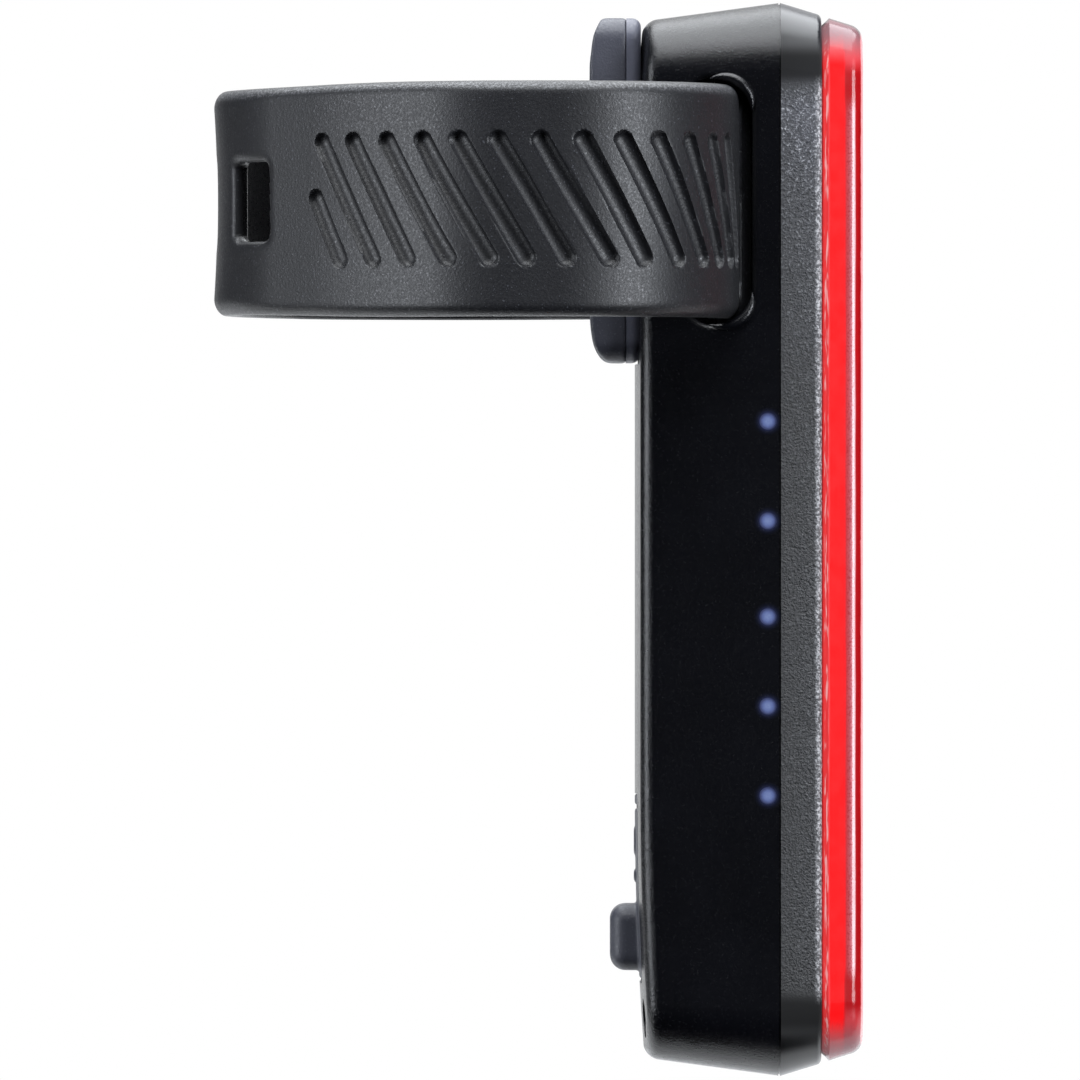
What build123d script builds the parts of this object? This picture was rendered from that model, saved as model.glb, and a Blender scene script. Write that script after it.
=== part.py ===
from build123d import *
import os
from math import sin, cos, tan, radians, sqrt

os.makedirs("parts", exist_ok=True)

# Bicycle rear light with a rubber strap, millimetres.
# +X points to the lens, +Z up, the strapped seatpost's axis is Z at X = Y = 0,
# and Z = 0 is the middle height of the strap.

# ---------------------------------------------------------------- dimensions
post_r = 15.8            # seatpost radius (31.6 mm post)
zc = -28.25              # middle height of the casing
half_h = 45.0            # half height at the parting plane
half_w = 12.0            # half width at the parting plane
corner_r = 5.6           # corner radius seen from the front
x_part = 30.2            # parting plane
x_seat = 18.54           # flat back face under the saddle
x_crown = 18.04          # top of the crowned back face
draft = tan(radians(7.6))
wall = 1.5

x_bezel = 33.64          # front of the bezel
x_lens_rear = 34.3       # sharp rear corner of the lens
x_lens = 37.1            # front of the lens

strap_t = 1.6            # strap thickness
strap_hh = 9.7           # half height of the strap
slot_l, slot_h, slot_r = 5.2, 6.7, 0.7
r_mid = post_r + strap_t / 2

pocket_x0, pocket_x1 = 22.2, 27.8
pocket_z0, pocket_z1 = -10.32, 10.28
pocket_floor = 6.6       # |Y| of the pocket floor

pin_x, pin_y, pin_r = 25.55, -8.9, 0.9

dot_x = 29.11
dot_z = [-18.38, -26.70, -34.71, -42.19, -49.67]

saddle_z0, saddle_z1 = -13.37, 15.49
usb_z = -59.4
cover_z0, cover_z1 = -65.5, -49.6
cover_axis = (18.2, -50.5)        # X and Z of the port cover's hinge line
root_z = -50.12                   # middle height of the cover's fixed strip
btn_x, btn_z = 25.4, -35.0


def station(x):
    # plane square to X at height zc: local x is +Y, local y is +Z
    return Plane(origin=(x, 0, zc), x_dir=(0, 1, 0), z_dir=(1, 0, 0))


def back_plane(x, z=0.0, y=0.0):
    # plane square to X at a given point, facing +X
    return Plane(origin=(x, y, z), x_dir=(0, 1, 0), z_dir=(1, 0, 0))


def side_plane(y, x=0.0, z=0.0):
    # plane square to Y, local x is +X, local y is +Z, normal is -Y
    return Plane(origin=(x, y, z), x_dir=(1, 0, 0), z_dir=(0, -1, 0))


def case_half(x):
    # half height, half width and corner radius of the casing at X
    d = (x_part - x) * draft
    return half_h - d, half_w - d, corner_r - 0.09 * (x_part - x)


# ---------------------------------------------------------------- rear casing
x_start = 16.9
crown_r = 109.0
rt, rb = 170.0, 294.0
zt, zb = 26.0, -84.0
xt = x_crown + rt - sqrt(rt**2 - zt**2)
xb = x_crown + rb - sqrt(rb**2 - (zb + 50.0) ** 2)


def crown_side(arc):
    # everything behind the back face: crowned across the width, falling away towards both ends
    with BuildPart() as side:
        with BuildSketch(side_plane(0)):
            with BuildLine():
                Line((x_crown, 0.0), (x_crown, -50.0))
                RadiusArc((x_crown, 0.0), (xt, zt), rt)
                RadiusArc((x_crown, -50.0), (xb, zb), -rb)
                Polyline((xt, zt), (10.0, zt), (10.0, zb), (xb, zb))
            make_face()
        revolve(axis=Axis((x_crown + crown_r, 0, 0), (0, 0, 1)), revolution_arc=arc)
    return side.part


ho, wo, ro = case_half(x_start)
hi, wi, ri = case_half(19.95)
hp, wp, rp = case_half(x_part)
with BuildPart() as rear_casing:
    with BuildSketch(station(x_start)):
        RectangleRounded(2 * wo, 2 * ho, ro)
    with BuildSketch(station(x_part)):
        RectangleRounded(2 * half_w, 2 * half_h, corner_r)
    loft()
    add(crown_side(24), mode=Mode.SUBTRACT)
    add(crown_side(-24), mode=Mode.SUBTRACT)
    print("crowned", rear_casing.part.is_valid, rear_casing.part.bounding_box())
    back_edges = [
        e
        for e in rear_casing.edges()
        if e.center().X < 20.0 and (abs(e.center().Y) > 8.5 or e.center().Z > 12.5 or e.center().Z < -69.5)
    ]
    print("back edges", len(back_edges))
    fillet(back_edges, 1.2)
    # shadow line along the parting plane
    with BuildSketch(station(x_part - 0.16)):
        RectangleRounded(2 * half_w + 2, 2 * half_h + 2, corner_r + 1)
        RectangleRounded(2 * half_w - 0.3, 2 * half_h - 0.3, corner_r - 0.15, mode=Mode.SUBTRACT)
    extrude(amount=0.5, mode=Mode.SUBTRACT)
    # flat seat for the saddle plate
    with BuildSketch(side_plane(8.0)):
        with Locations(((x_seat + 10) / 2, 3.4)):
            Rectangle(x_seat - 10, 33.9)
    extrude(amount=16.0, mode=Mode.SUBTRACT)
    # hollow inside, open at the parting plane
    with BuildSketch(station(19.95)):
        RectangleRounded(2 * (wi - wall), 2 * (hi - wall), ri - wall)
    with BuildSketch(station(x_part)):
        RectangleRounded(2 * (wp - wall), 2 * (hp - wall), rp - wall)
    loft(mode=Mode.SUBTRACT)
    # block that carries the strap pocket
    with BuildSketch(side_plane(-pocket_floor + 1.2, (pocket_x0 + pocket_x1) / 2, 0.1)):
        RectangleRounded(pocket_x1 - pocket_x0 + 2.2, 23.96, 2.6)
    extrude(amount=5.1)
    with BuildSketch(side_plane(-pocket_floor, (pocket_x0 + pocket_x1) / 2, (pocket_z0 + pocket_z1) / 2)):
        RectangleRounded(pocket_x1 - pocket_x0, pocket_z1 - pocket_z0, 2.4)
    extrude(amount=8, mode=Mode.SUBTRACT)
    rim_edges = [
        e
        for e in rear_casing.edges()
        if e.center().Y < -10.4
        and pocket_x0 - 0.3 < e.center().X < pocket_x1 + 0.3
        and pocket_z0 - 0.3 < e.center().Z < pocket_z1 + 0.3
    ]
    print("pocket rim", len(rim_edges))
    fillet(rim_edges, 0.5)
    # bores for the anchor pin above and below the pocket
    with Locations(Plane(origin=(pin_x, pin_y, 0), z_dir=(0, 0, 1))):
        Cylinder(pin_r + 0.02, 23.4, mode=Mode.SUBTRACT)
    # hooked peg on the far side, leaning away from the strap's pull
    with BuildSketch(side_plane(10.2)):
        with Locations((24.05, 0)):
            RectangleRounded(3.0, 5.4, 0.9)
    with BuildSketch(side_plane(15.6)):
        with Locations((24.45, 0)):
            RectangleRounded(2.9, 5.2, 0.9)
    loft()
    # screw bosses
    with BuildSketch(back_plane(19.2)):
        with Locations((3.4, 11.6), (-3.4, 11.6), (6.3, -68.4), (-6.3, -68.4)):
            Circle(1.9)
    extrude(amount=x_part - 19.2 - 0.9)
    with BuildSketch(back_plane(19.2)):
        with Locations((0, 5.0), (0, -9.0)):
            Circle(1.9)
    extrude(amount=3.6)
    with BuildSketch(back_plane(17.0)):
        with Locations((3.4, 11.6), (-3.4, 11.6), (6.3, -68.4), (-6.3, -68.4)):
            Circle(0.85)
    extrude(amount=14, mode=Mode.SUBTRACT)
    with BuildSketch(back_plane(17.0)):
        with Locations((3.4, 11.6), (-3.4, 11.6), (6.3, -68.4), (-6.3, -68.4)):
            Circle(1.65)
    extrude(amount=3.4, mode=Mode.SUBTRACT)
    with BuildSketch(back_plane(17.0)):
        with Locations((0, 5.0), (0, -9.0)):
            Circle(0.83)
    extrude(amount=5.4, mode=Mode.SUBTRACT)
    # recess for the port cover, and the charging opening in its floor
    with BuildSketch(back_plane(17.0, (cover_z0 + cover_z1) / 2)):
        RectangleRounded(12.9, cover_z1 - cover_z0, 1.0)
    extrude(amount=19.2 - 17.0, mode=Mode.SUBTRACT)
    with BuildSketch(back_plane(17.0, usb_z)):
        SlotOverall(9.9, 4.3)
    extrude(amount=5, mode=Mode.SUBTRACT)
    # anchor hole of the port cover
    with BuildSketch(back_plane(17.0, root_z)):
        SlotOverall(7.0, 0.8)
    extrude(amount=5, mode=Mode.SUBTRACT)
    # holes of the five indicator pipes
    with Locations(*[Location((dot_x, -11.0, z), (90, 0, 0)) for z in dot_z]):
        Cylinder(0.72, 4.0, mode=Mode.SUBTRACT)
    # window of the power button
    with BuildSketch(side_plane(8.6, btn_x, btn_z)):
        SlotOverall(10.4, 6.4, rotation=90)
    extrude(amount=-5, mode=Mode.SUBTRACT)
rear_casing.part.label = "rear_casing"
export_step(rear_casing.part, "parts/rear_casing.step")
print("rear_casing", rear_casing.part.is_valid, len(rear_casing.solids()))

# ---------------------------------------------------------------- front bezel
with BuildPart() as front_bezel:
    with BuildSketch(station(x_part)):
        RectangleRounded(2 * half_w, 2 * half_h, corner_r)
    with BuildSketch(station(x_bezel)):
        RectangleRounded(2 * (half_w - 1.03), 2 * (half_h - 1.03), corner_r - 0.5)
    loft()
    rim = front_bezel.faces().sort_by(Axis.X)[-1].edges()
    fillet(rim, 0.55)
    # rear opening, ledge and front opening
    with BuildSketch(station(x_part - 0.1)):
        RectangleRounded(18.8, 84.8, 3.4)
    extrude(amount=1.0, mode=Mode.SUBTRACT)
    with BuildSketch(station(x_part)):
        RectangleRounded(14.8, 80.8, 2.6)
    extrude(amount=4, mode=Mode.SUBTRACT)
    with BuildSketch(station(31.8)):
        RectangleRounded(17.6, 83.6, 3.0)
    extrude(amount=3, mode=Mode.SUBTRACT)
    # groove for the seal cord
    with BuildSketch(station(x_part)):
        RectangleRounded(2 * (half_w - 0.7), 2 * (half_h - 0.7), corner_r - 0.7)
        RectangleRounded(2 * (half_w - 1.4), 2 * (half_h - 1.4), corner_r - 1.4, mode=Mode.SUBTRACT)
    extrude(amount=0.6, mode=Mode.SUBTRACT)
    # pilot bosses that take the casing screws
    with BuildSketch(back_plane(29.5)):
        with Locations((3.4, 11.6), (-3.4, 11.6)):
            Circle(1.5)
        with Locations((6.3, -68.4), (-6.3, -68.4)):
            Circle(1.5)
    extrude(amount=2.3)
    with BuildSketch(back_plane(29.0)):
        with Locations((3.4, 11.6), (-3.4, 11.6), (6.3, -68.4), (-6.3, -68.4)):
            Circle(0.78)
    extrude(amount=2.4, mode=Mode.SUBTRACT)
front_bezel.part.label = "front_bezel"
export_step(front_bezel.part, "parts/front_bezel.step")
print("front_bezel", front_bezel.part.is_valid, len(front_bezel.solids()))

# ---------------------------------------------------------------- lens
with BuildPart() as lens:
    with BuildSketch(station(x_lens_rear)):
        RectangleRounded(2 * 10.73, 2 * 43.73, 4.9)
    with BuildSketch(station(x_lens)):
        RectangleRounded(2 * 9.87, 2 * 42.87, 4.3)
    loft()
    fillet(lens.faces().sort_by(Axis.X)[-1].edges(), 1.35)
    # bevelled rear edge that closes the groove against the bezel
    with BuildSketch(station(x_bezel + 0.02)):
        RectangleRounded(2 * 10.1, 2 * 43.1, 4.5)
    with BuildSketch(station(x_lens_rear)):
        RectangleRounded(2 * 10.73, 2 * 43.73, 4.9)
    loft()
    # tongue that drops into the bezel
    with BuildSketch(station(32.5)):
        RectangleRounded(17.3, 83.3, 2.85)
    extrude(amount=1.6)
    # inside
    with BuildSketch(station(32.4)):
        RectangleRounded(15.2, 81.2, 2.0)
    extrude(amount=1.3, mode=Mode.SUBTRACT)
    with BuildSketch(station(33.6)):
        RectangleRounded(16.0, 82.0, 2.2)
    extrude(amount=1.9, mode=Mode.SUBTRACT)
lens.part.label = "lens"
export_step(lens.part, "parts/lens.step")
print("lens", lens.part.is_valid, len(lens.solids()))

# ---------------------------------------------------------------- seals
with BuildPart() as lens_gasket:
    with BuildSketch(station(31.82)):
        RectangleRounded(17.2, 83.2, 2.8)
        RectangleRounded(15.4, 81.4, 1.9, mode=Mode.SUBTRACT)
    extrude(amount=0.66)
lens_gasket.part.label = "lens_gasket"
export_step(lens_gasket.part, "parts/lens_gasket.step")

with BuildPart() as casing_seal:
    with BuildSketch(station(x_part + 0.02)):
        RectangleRounded(2 * (half_w - 0.74), 2 * (half_h - 0.74), corner_r - 0.74)
        RectangleRounded(2 * (half_w - 1.36), 2 * (half_h - 1.36), corner_r - 1.36, mode=Mode.SUBTRACT)
    extrude(amount=0.55)
casing_seal.part.label = "casing_seal"
export_step(casing_seal.part, "parts/casing_seal.step")

# ---------------------------------------------------------------- optics
with BuildPart() as light_diffuser:
    with BuildSketch(station(33.95)):
        RectangleRounded(14.6, 80.6, 1.8)
    extrude(amount=0.8)
light_diffuser.part.label = "light_diffuser"
export_step(light_diffuser.part, "parts/light_diffuser.step")

with BuildPart() as reflector_frame:
    with BuildSketch(station(32.12)):
        RectangleRounded(14.6, 80.6, 1.8)
    extrude(amount=1.78)
    with BuildSketch(station(32.12)):
        RectangleRounded(6.4, 73.0, 1.0)
    with BuildSketch(station(33.92)):
        RectangleRounded(12.4, 78.4, 1.4)
    loft(mode=Mode.SUBTRACT)
reflector_frame.part.label = "reflector_frame"
export_step(reflector_frame.part, "parts/reflector_frame.step")

with BuildPart() as led_board:
    with BuildSketch(station(31.25)):
        RectangleRounded(14.2, 75.8, 2.2)
    extrude(amount=0.85)
led_board.part.label = "led_board"
export_step(led_board.part, "parts/led_board.step")

with BuildPart() as led_emitters:
    with BuildSketch(station(32.1)):
        with GridLocations(0, 4.55, 1, 16):
            RectangleRounded(2.8, 3.0, 0.3)
    extrude(amount=0.7)
led_emitters.part.label = "led_emitters"
export_step(led_emitters.part, "parts/led_emitters.step")

# ---------------------------------------------------------------- main board
board_z0, board_z1 = -65.9, 9.4
with BuildPart() as main_pcb:
    with BuildSketch(back_plane(29.9, (board_z0 + board_z1) / 2)):
        RectangleRounded(17.6, board_z1 - board_z0, 1.5)
    extrude(amount=0.95)
main_pcb.part.label = "main_pcb"
export_step(main_pcb.part, "parts/main_pcb.step")

with BuildPart() as board_components:
    with BuildSketch(back_plane(29.9)):
        with Locations((0.5, -6.0)):
            Rectangle(6.0, 6.0)
        with Locations((2.0, 2.0)):
            Rectangle(4.0, 4.0)
        with Locations((-3.6, -51.6), (4.4, -51.6)):
            Rectangle(2.4, 1.6)
        with Locations((4.6, 6.4), (-3.2, 6.2)):
            Rectangle(1.6, 3.0)
    extrude(amount=-1.0)
board_components.part.label = "board_components"
export_step(board_components.part, "parts/board_components.step")

with BuildPart() as board_pins:
    with BuildSketch(back_plane(30.87)):
        with Locations((-5.6, -2.0), (-5.6, -4.5), (5.6, -60.0), (5.6, -62.5)):
            Rectangle(0.6, 0.6)
    extrude(amount=0.36)
board_pins.part.label = "board_pins"
export_step(board_pins.part, "parts/board_pins.step")

with BuildPart() as indicator_leds:
    with BuildSketch(back_plane(29.88)):
        with Locations(*[(-7.9, z) for z in dot_z]):
            Rectangle(1.2, 1.6)
    extrude(amount=-1.2)
indicator_leds.part.label = "indicator_leds"
export_step(indicator_leds.part, "parts/indicator_leds.step")

dot_face = half_w - (x_part - dot_x) * draft      # casing side at the dots
with BuildPart() as indicator_light_pipes:
    for z in dot_z:
        with BuildSketch(side_plane(-8.86, dot_x, z)):
            Circle(0.66)
        extrude(amount=dot_face - 8.86 - 0.03)
        with BuildSketch(side_plane(-8.86, dot_x, z)):
            Circle(0.98)
        extrude(amount=0.9)
    split(bisect_by=Plane(origin=(30.15, 0, 0), z_dir=(1, 0, 0)), keep=Keep.BOTTOM)
indicator_light_pipes.part.label = "indicator_light_pipes"
export_step(indicator_light_pipes.part, "parts/indicator_light_pipes.step")

# ---------------------------------------------------------------- charging socket
with BuildPart() as usb_c_socket:
    with BuildSketch(back_plane(19.6, usb_z)):
        SlotOverall(8.94, 3.26)
    extrude(amount=29.86 - 19.6)
    with BuildSketch(back_plane(19.6, usb_z)):
        SlotOverall(8.34, 2.56)
    extrude(amount=6.2, mode=Mode.SUBTRACT)
    with BuildSketch(back_plane(20.3, usb_z)):
        Rectangle(6.69, 0.7)
    extrude(amount=5.6)
usb_c_socket.part.label = "usb_c_socket"
export_step(usb_c_socket.part, "parts/usb_c_socket.step")

# ---------------------------------------------------------------- power button
with BuildPart() as tact_switch:
    with BuildSketch(side_plane(4.2, 0, btn_z)):
        with Locations((28.8, 0)):
            Rectangle(2.1, 5.0)
    extrude(amount=-3.2)
    with Locations(Location((28.55, 6.8, btn_z), (90, 0, 0))):
        Cylinder(0.56, 2.4, mode=Mode.SUBTRACT)
tact_switch.part.label = "tact_switch"
export_step(tact_switch.part, "parts/tact_switch.step")

with BuildPart() as switch_plunger:
    with Locations(Location((28.55, 7.2, btn_z), (90, 0, 0))):
        Cylinder(0.5, 1.9)
switch_plunger.part.label = "switch_plunger"
export_step(switch_plunger.part, "parts/switch_plunger.step")

btn_face = half_w - (x_part - btn_x) * draft       # casing side at the button
with BuildPart() as power_button:
    with BuildSketch(side_plane(8.22, btn_x, btn_z)):
        SlotOverall(9.8, 5.8, rotation=90)
    extrude(amount=-(btn_face + 0.35 - 8.22))
    top = power_button.faces().sort_by(Axis.Y)[-1]
    fillet(top.edges(), 0.3)
    # retaining flange inside the wall
    with BuildSketch(side_plane(8.22, btn_x, btn_z)):
        SlotOverall(11.6, 7.4, rotation=90)
    extrude(amount=-0.7)
power_button.part.label = "power_button"
export_step(power_button.part, "parts/power_button.step")

# ---------------------------------------------------------------- battery
with BuildPart() as battery_cell:
    with BuildSketch(back_plane(20.9, -30.6)):
        RectangleRounded(14.4, 33.0, 1.8)
    extrude(amount=6.6)
    fillet(battery_cell.edges().filter_by(Axis.X, reverse=True).filter_by(lambda e: e.center().X < 21.2 or e.center().X > 27.2), 0.8)
battery_cell.part.label = "battery_cell"
export_step(battery_cell.part, "parts/battery_cell.step")

with BuildPart() as battery_foam_pad:
    with BuildSketch(back_plane(19.97, -30.6)):
        RectangleRounded(12.6, 30.0, 1.0)
    extrude(amount=0.91)
battery_foam_pad.part.label = "battery_foam_pad"
export_step(battery_foam_pad.part, "parts/battery_foam_pad.step")

with BuildPart() as battery_leads:
    for y0, y1 in ((-1.6, -2.6), (1.6, 2.6)):
        with BuildLine():
            FilletPolyline((24.2, y0, -14.06), (24.2, y0, -12.0), (26.6, y1, -10.9), (29.86, y1, -10.9), radius=0.85)
        with BuildSketch(Plane(origin=(24.2, y0, -14.06), z_dir=(0, 0, 1))):
            Circle(0.42)
        sweep()
battery_leads.part.label = "battery_leads"
export_step(battery_leads.part, "parts/battery_leads.step")

# ---------------------------------------------------------------- screws
def screw(points, x_head, head_r, head_t, shank_r, x_end):
    with BuildPart() as s:
        with BuildSketch(back_plane(x_head)):
            with Locations(*points):
                Circle(head_r)
        extrude(amount=head_t)
        with BuildSketch(back_plane(x_head)):
            with Locations(*points):
                Circle(shank_r)
        extrude(amount=x_end - x_head)
        with BuildSketch(back_plane(x_head)):
            with Locations(*points):
                RegularPolygon(0.62, 6)
        extrude(amount=0.7, mode=Mode.SUBTRACT)
    return s


casing_screws = screw(
    [(3.4, 11.6), (-3.4, 11.6), (6.3, -68.4), (-6.3, -68.4)], 19.08, 1.55, 1.3, 0.74, 31.2)
casing_screws.part.label = "casing_screws"
export_step(casing_screws.part, "parts/casing_screws.step")

saddle_screws = screw([(0, 5.0), (0, -9.0)], 17.42, 1.5, 1.0, 0.74, 22.3)
saddle_screws.part.label = "saddle_screws"
export_step(saddle_screws.part, "parts/saddle_screws.step")

# ---------------------------------------------------------------- saddle
saddle_mid = (saddle_z0 + saddle_z1) / 2
with BuildPart() as saddle_plate:
    with BuildSketch(back_plane(17.3, saddle_mid)):
        RectangleRounded(15.6, saddle_z1 - saddle_z0 - 0.04, 1.8)
    extrude(amount=x_seat - 0.02 - 17.3)
    fillet(saddle_plate.faces().sort_by(Axis.X)[-1].edges(), 0.75)
    with BuildSketch(back_plane(17.2)):
        with Locations((0, 5.0), (0, -9.0)):
            Circle(1.55)
    extrude(amount=1.22, mode=Mode.SUBTRACT)
    with BuildSketch(back_plane(17.2)):
        with Locations((0, 5.0), (0, -9.0)):
            Circle(0.8)
    extrude(amount=2, mode=Mode.SUBTRACT)
saddle_plate.part.label = "saddle_plate"
export_step(saddle_plate.part, "parts/saddle_plate.step")

with BuildPart() as saddle_pad:
    with BuildSketch(back_plane(13.4, saddle_mid)):
        RectangleRounded(15.6, saddle_z1 - saddle_z0, 1.8)
    extrude(amount=17.28 - 13.4)
    # side profile with rounded ends
    with BuildSketch(side_plane(12)):
        with BuildLine():
            Polyline((15.6, saddle_z1), (18.0, saddle_z1), (18.0, saddle_z0), (16.2, saddle_z0))
            Spline(
                (15.6, saddle_z1), (14.95, 14.95), (14.55, 14.0), (14.32, 12.4), (14.25, 10.4),
                tangents=[(-1, 0), (0, -1)])
            Line((14.25, 10.4), (14.25, -8.6))
            Spline(
                (14.25, -8.6), (14.38, -10.7), (14.66, -12.0), (15.2, -12.95), (16.2, saddle_z0),
                tangents=[(0, -1), (1, 0)])
        make_face()
    extrude(amount=24, mode=Mode.INTERSECT)
    # concave seat for the post
    Cylinder(post_r, 80, mode=Mode.SUBTRACT)
saddle_pad.part.label = "saddle_pad"
export_step(saddle_pad.part, "parts/saddle_pad.step")
print("saddle_pad", saddle_pad.part.is_valid, len(saddle_pad.solids()), saddle_pad.part.bounding_box())

# ---------------------------------------------------------------- port cover
with BuildPart() as port_cover:
    with BuildSketch(back_plane(17.0, -58.05)):
        RectangleRounded(12.4, 14.2, 0.8)
    extrude(amount=19.15 - 17.0)
    # its outer face continues the casing's crown
    add(crown_side(24), mode=Mode.SUBTRACT)
    add(crown_side(-24), mode=Mode.SUBTRACT)
    # plug that fills the charging opening
    with BuildSketch(back_plane(19.1, usb_z)):
        SlotOverall(8.9, 3.3)
    extrude(amount=0.45)
    # raised grip marks
    with BuildSketch(back_plane(x_crown + 0.15)):
        with Locations((0, -53.64)):
            RectangleRounded(6.0, 2.15, 0.5)
        with Locations((0, -56.57)):
            RectangleRounded(6.0, 0.85, 0.4)
    extrude(amount=-0.22)
    # thick thumb pad that also steadies the light on the post
    with BuildSketch(back_plane(15.95, -61.7)):
        RectangleRounded(8.4, 5.55, 1.4)
    extrude(amount=2.6)
    pad_edges = port_cover.edges().filter_by(lambda e: e.center().X < 16.0)
    fillet(pad_edges, 1.3)
port_cover.part.label = "port_cover"
export_step(port_cover.part, "parts/port_cover.step")
print("port_cover", port_cover.part.is_valid, len(port_cover.solids()), port_cover.part.bounding_box())

with BuildPart() as port_cover_root:
    with BuildSketch(back_plane(17.0, root_z)):
        RectangleRounded(11.8, 0.76, 0.2)
    extrude(amount=19.15 - 17.0)
    add(crown_side(24), mode=Mode.SUBTRACT)
    add(crown_side(-24), mode=Mode.SUBTRACT)
    with BuildSketch(back_plane(18.8, root_z)):
        SlotOverall(6.6, 0.66)
    extrude(amount=1.2)
    with BuildSketch(back_plane(19.98, root_z)):
        SlotOverall(7.4, 1.9)
    extrude(amount=0.6)
port_cover_root.part.label = "port_cover_root"
export_step(port_cover_root.part, "parts/port_cover_root.step")

# ---------------------------------------------------------------- strap
# Mid line seen from above, as straight runs and tangent arcs. The near side bulges out,
# then turns square into the pocket. The far side comes down flat beside the casing.


def run(p, ang, length):
    q = (p[0] + length * cos(radians(ang)), p[1] + length * sin(radians(ang)))
    return ("line", p, q, None), q, ang


def bend(p, ang, new_ang, r):
    # tangent arc turning from ang to new_ang
    s = 1 if new_ang > ang else -1
    cx, cy = p[0] - s * r * sin(radians(ang)), p[1] + s * r * cos(radians(ang))
    pt = lambda a: (cx + s * r * sin(radians(a)), cy - s * r * cos(radians(a)))
    return ("arc", p, pt(new_ang), pt((ang + new_ang) / 2)), pt(new_ang), new_ang


def chain(p, ang, steps):
    out = []
    for st in steps:
        if st[0] == "run":
            seg, p, ang = run(p, ang, st[1])
        else:
            seg, p, ang = bend(p, ang, st[1], st[2])
        out.append(seg)
    return out, p, ang


p45 = (-r_mid * cos(radians(45)), r_mid * sin(radians(45)))
# near side, worked out on the + side and mirrored by flip
near_steps = [("run", 4.5), ("bend", 32, 55.0), ("bend", 0, 14.7), ("run", 2.6), ("bend", -45, 13.2), ("bend", -84, 17.5)]
near_path, near_end, near_ang = chain(p45, 45, near_steps)
print("near end", near_end, near_ang)
# far side up to the fold, then the tail
hinge_turn = 19.5
far_a, fold, fold_ang = chain(p45, 45, [("bend", 45 - hinge_turn, 22.0)])
print("fold axis", fold, fold_ang)
tail_gap = 1.3
start_turn = tail_gap / 22.0 * 57.2958
tail_start_seg, tail_p, tail_ang = chain(fold, fold_ang, [("bend", fold_ang - start_turn, 22.0)])
tail_steps = [("bend", 0, 22.0), ("bend", -30, 15.0), ("run", 1.6), ("bend", 0, 13.0), ("run", 10.6)]
tail_path, tail_end, tail_end_ang = chain(tail_p, tail_ang, tail_steps)
print("tail end", tail_end)


def draw(segs, flip=1):
    for kind, a, b, m in segs:
        a2, b2 = (a[0], flip * a[1]), (b[0], flip * b[1])
        if kind == "line":
            Line(a2, b2)
        else:
            ThreePointArc(a2, (m[0], flip * m[1]), b2)


def offset_chain(segs, d, flip=1):
    # the same chain moved sideways by d (to the left of travel)
    out = []
    for kind, a, b, m in segs:
        if kind == "line":
            L = sqrt((b[0] - a[0]) ** 2 + (b[1] - a[1]) ** 2)
            n = (-(b[1] - a[1]) / L * d, (b[0] - a[0]) / L * d)
            out.append(("line", (a[0] + n[0], a[1] + n[1]), (b[0] + n[0], b[1] + n[1]), None))
        else:
            # circle through a, m, b
            ax, ay = a
            bx, by = m
            cx, cy = b
            D = 2 * (ax * (by - cy) + bx * (cy - ay) + cx * (ay - by))
            ux = ((ax**2 + ay**2) * (by - cy) + (bx**2 + by**2) * (cy - ay) + (cx**2 + cy**2) * (ay - by)) / D
            uy = ((ax**2 + ay**2) * (cx - bx) + (bx**2 + by**2) * (ax - cx) + (cx**2 + cy**2) * (bx - ax)) / D
            r = sqrt((ax - ux) ** 2 + (ay - uy) ** 2)
            turn = (ax - ux) * (by - uy) - (ay - uy) * (bx - ux)
            k = (r - d) / r if turn > 0 else (r + d) / r
            g = lambda p: (ux + (p[0] - ux) * k, uy + (p[1] - uy) * k)
            out.append(("arc", g(a), g(b), g(m)))
    return out


apex_arc = ("arc", (p45[0], -p45[1]), p45, (-r_mid, 0))
# travel: near end -> near side -> apex -> far side -> fold
near_rev = [(k, (b[0], -b[1]), (a[0], -a[1]), (m[0], -m[1]) if m else None) for k, a, b, m in reversed(near_path)]
band_mid = near_rev + [apex_arc] + far_a


def band_outline(segs, t, round_end=False):
    left = offset_chain(segs, t / 2)
    right = offset_chain(segs, -t / 2)
    draw(left)
    draw(right)
    Line(left[0][1], right[0][1])
    if round_end:
        e1, e2 = left[-1][2], right[-1][2]
        mx, my = (e1[0] + e2[0]) / 2, (e1[1] + e2[1]) / 2
        dx, dy = e2[0] - mx, e2[1] - my
        # half-round tip, 90 degrees on from the end's width
        tip = (mx - dy, my + dx)
        ThreePointArc(e1, tip, e2)
    else:
        Line(left[-1][2], right[-1][2])


def slot_plane(angle_deg, r):
    a = radians(angle_deg)
    # plane on the strap at an angle from the apex (+ towards +Y)
    return Plane(origin=(-r * cos(a), r * sin(a), 0), x_dir=(sin(a), cos(a), 0), z_dir=(-cos(a), sin(a), 0))


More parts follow.
